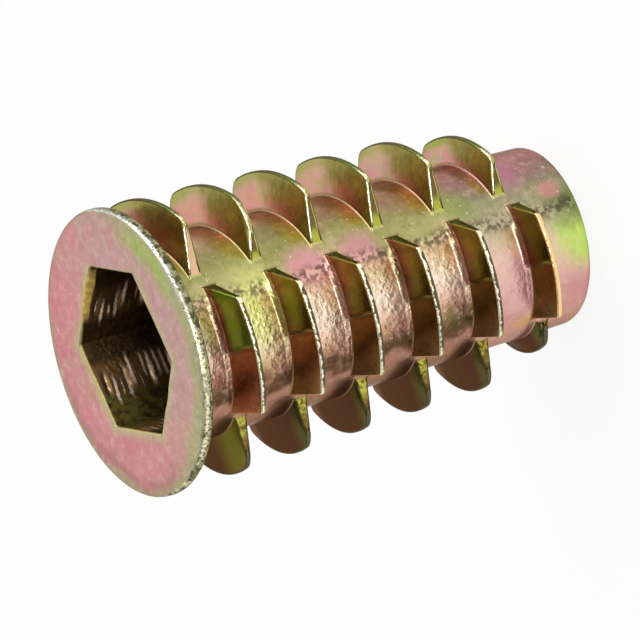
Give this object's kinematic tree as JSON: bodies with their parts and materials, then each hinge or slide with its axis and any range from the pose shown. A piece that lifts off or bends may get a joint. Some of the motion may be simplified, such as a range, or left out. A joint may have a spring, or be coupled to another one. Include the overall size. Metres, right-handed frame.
{
  "type": "threaded insert",
  "caption": "Flanged threaded insert for wood with a coarse finned outer thread, a hexagon drive socket and a tapped bore.",
  "frame": {"origin": "centre of the tail's end face, on the surface that the insert stands on", "axes": "+Z along the bore from the tail to the flange, +X through the middle of the first row of fins"},
  "size_m": [0.015, 0.015, 0.025],
  "materials": {
    "zinc_plate": "cast zinc alloy with an iridescent yellow chromate over zinc plating, olive green to pink"
  },
  "bodies": {
    "root": {"insert": "zinc_plate"}
  },
  "joints": []
}
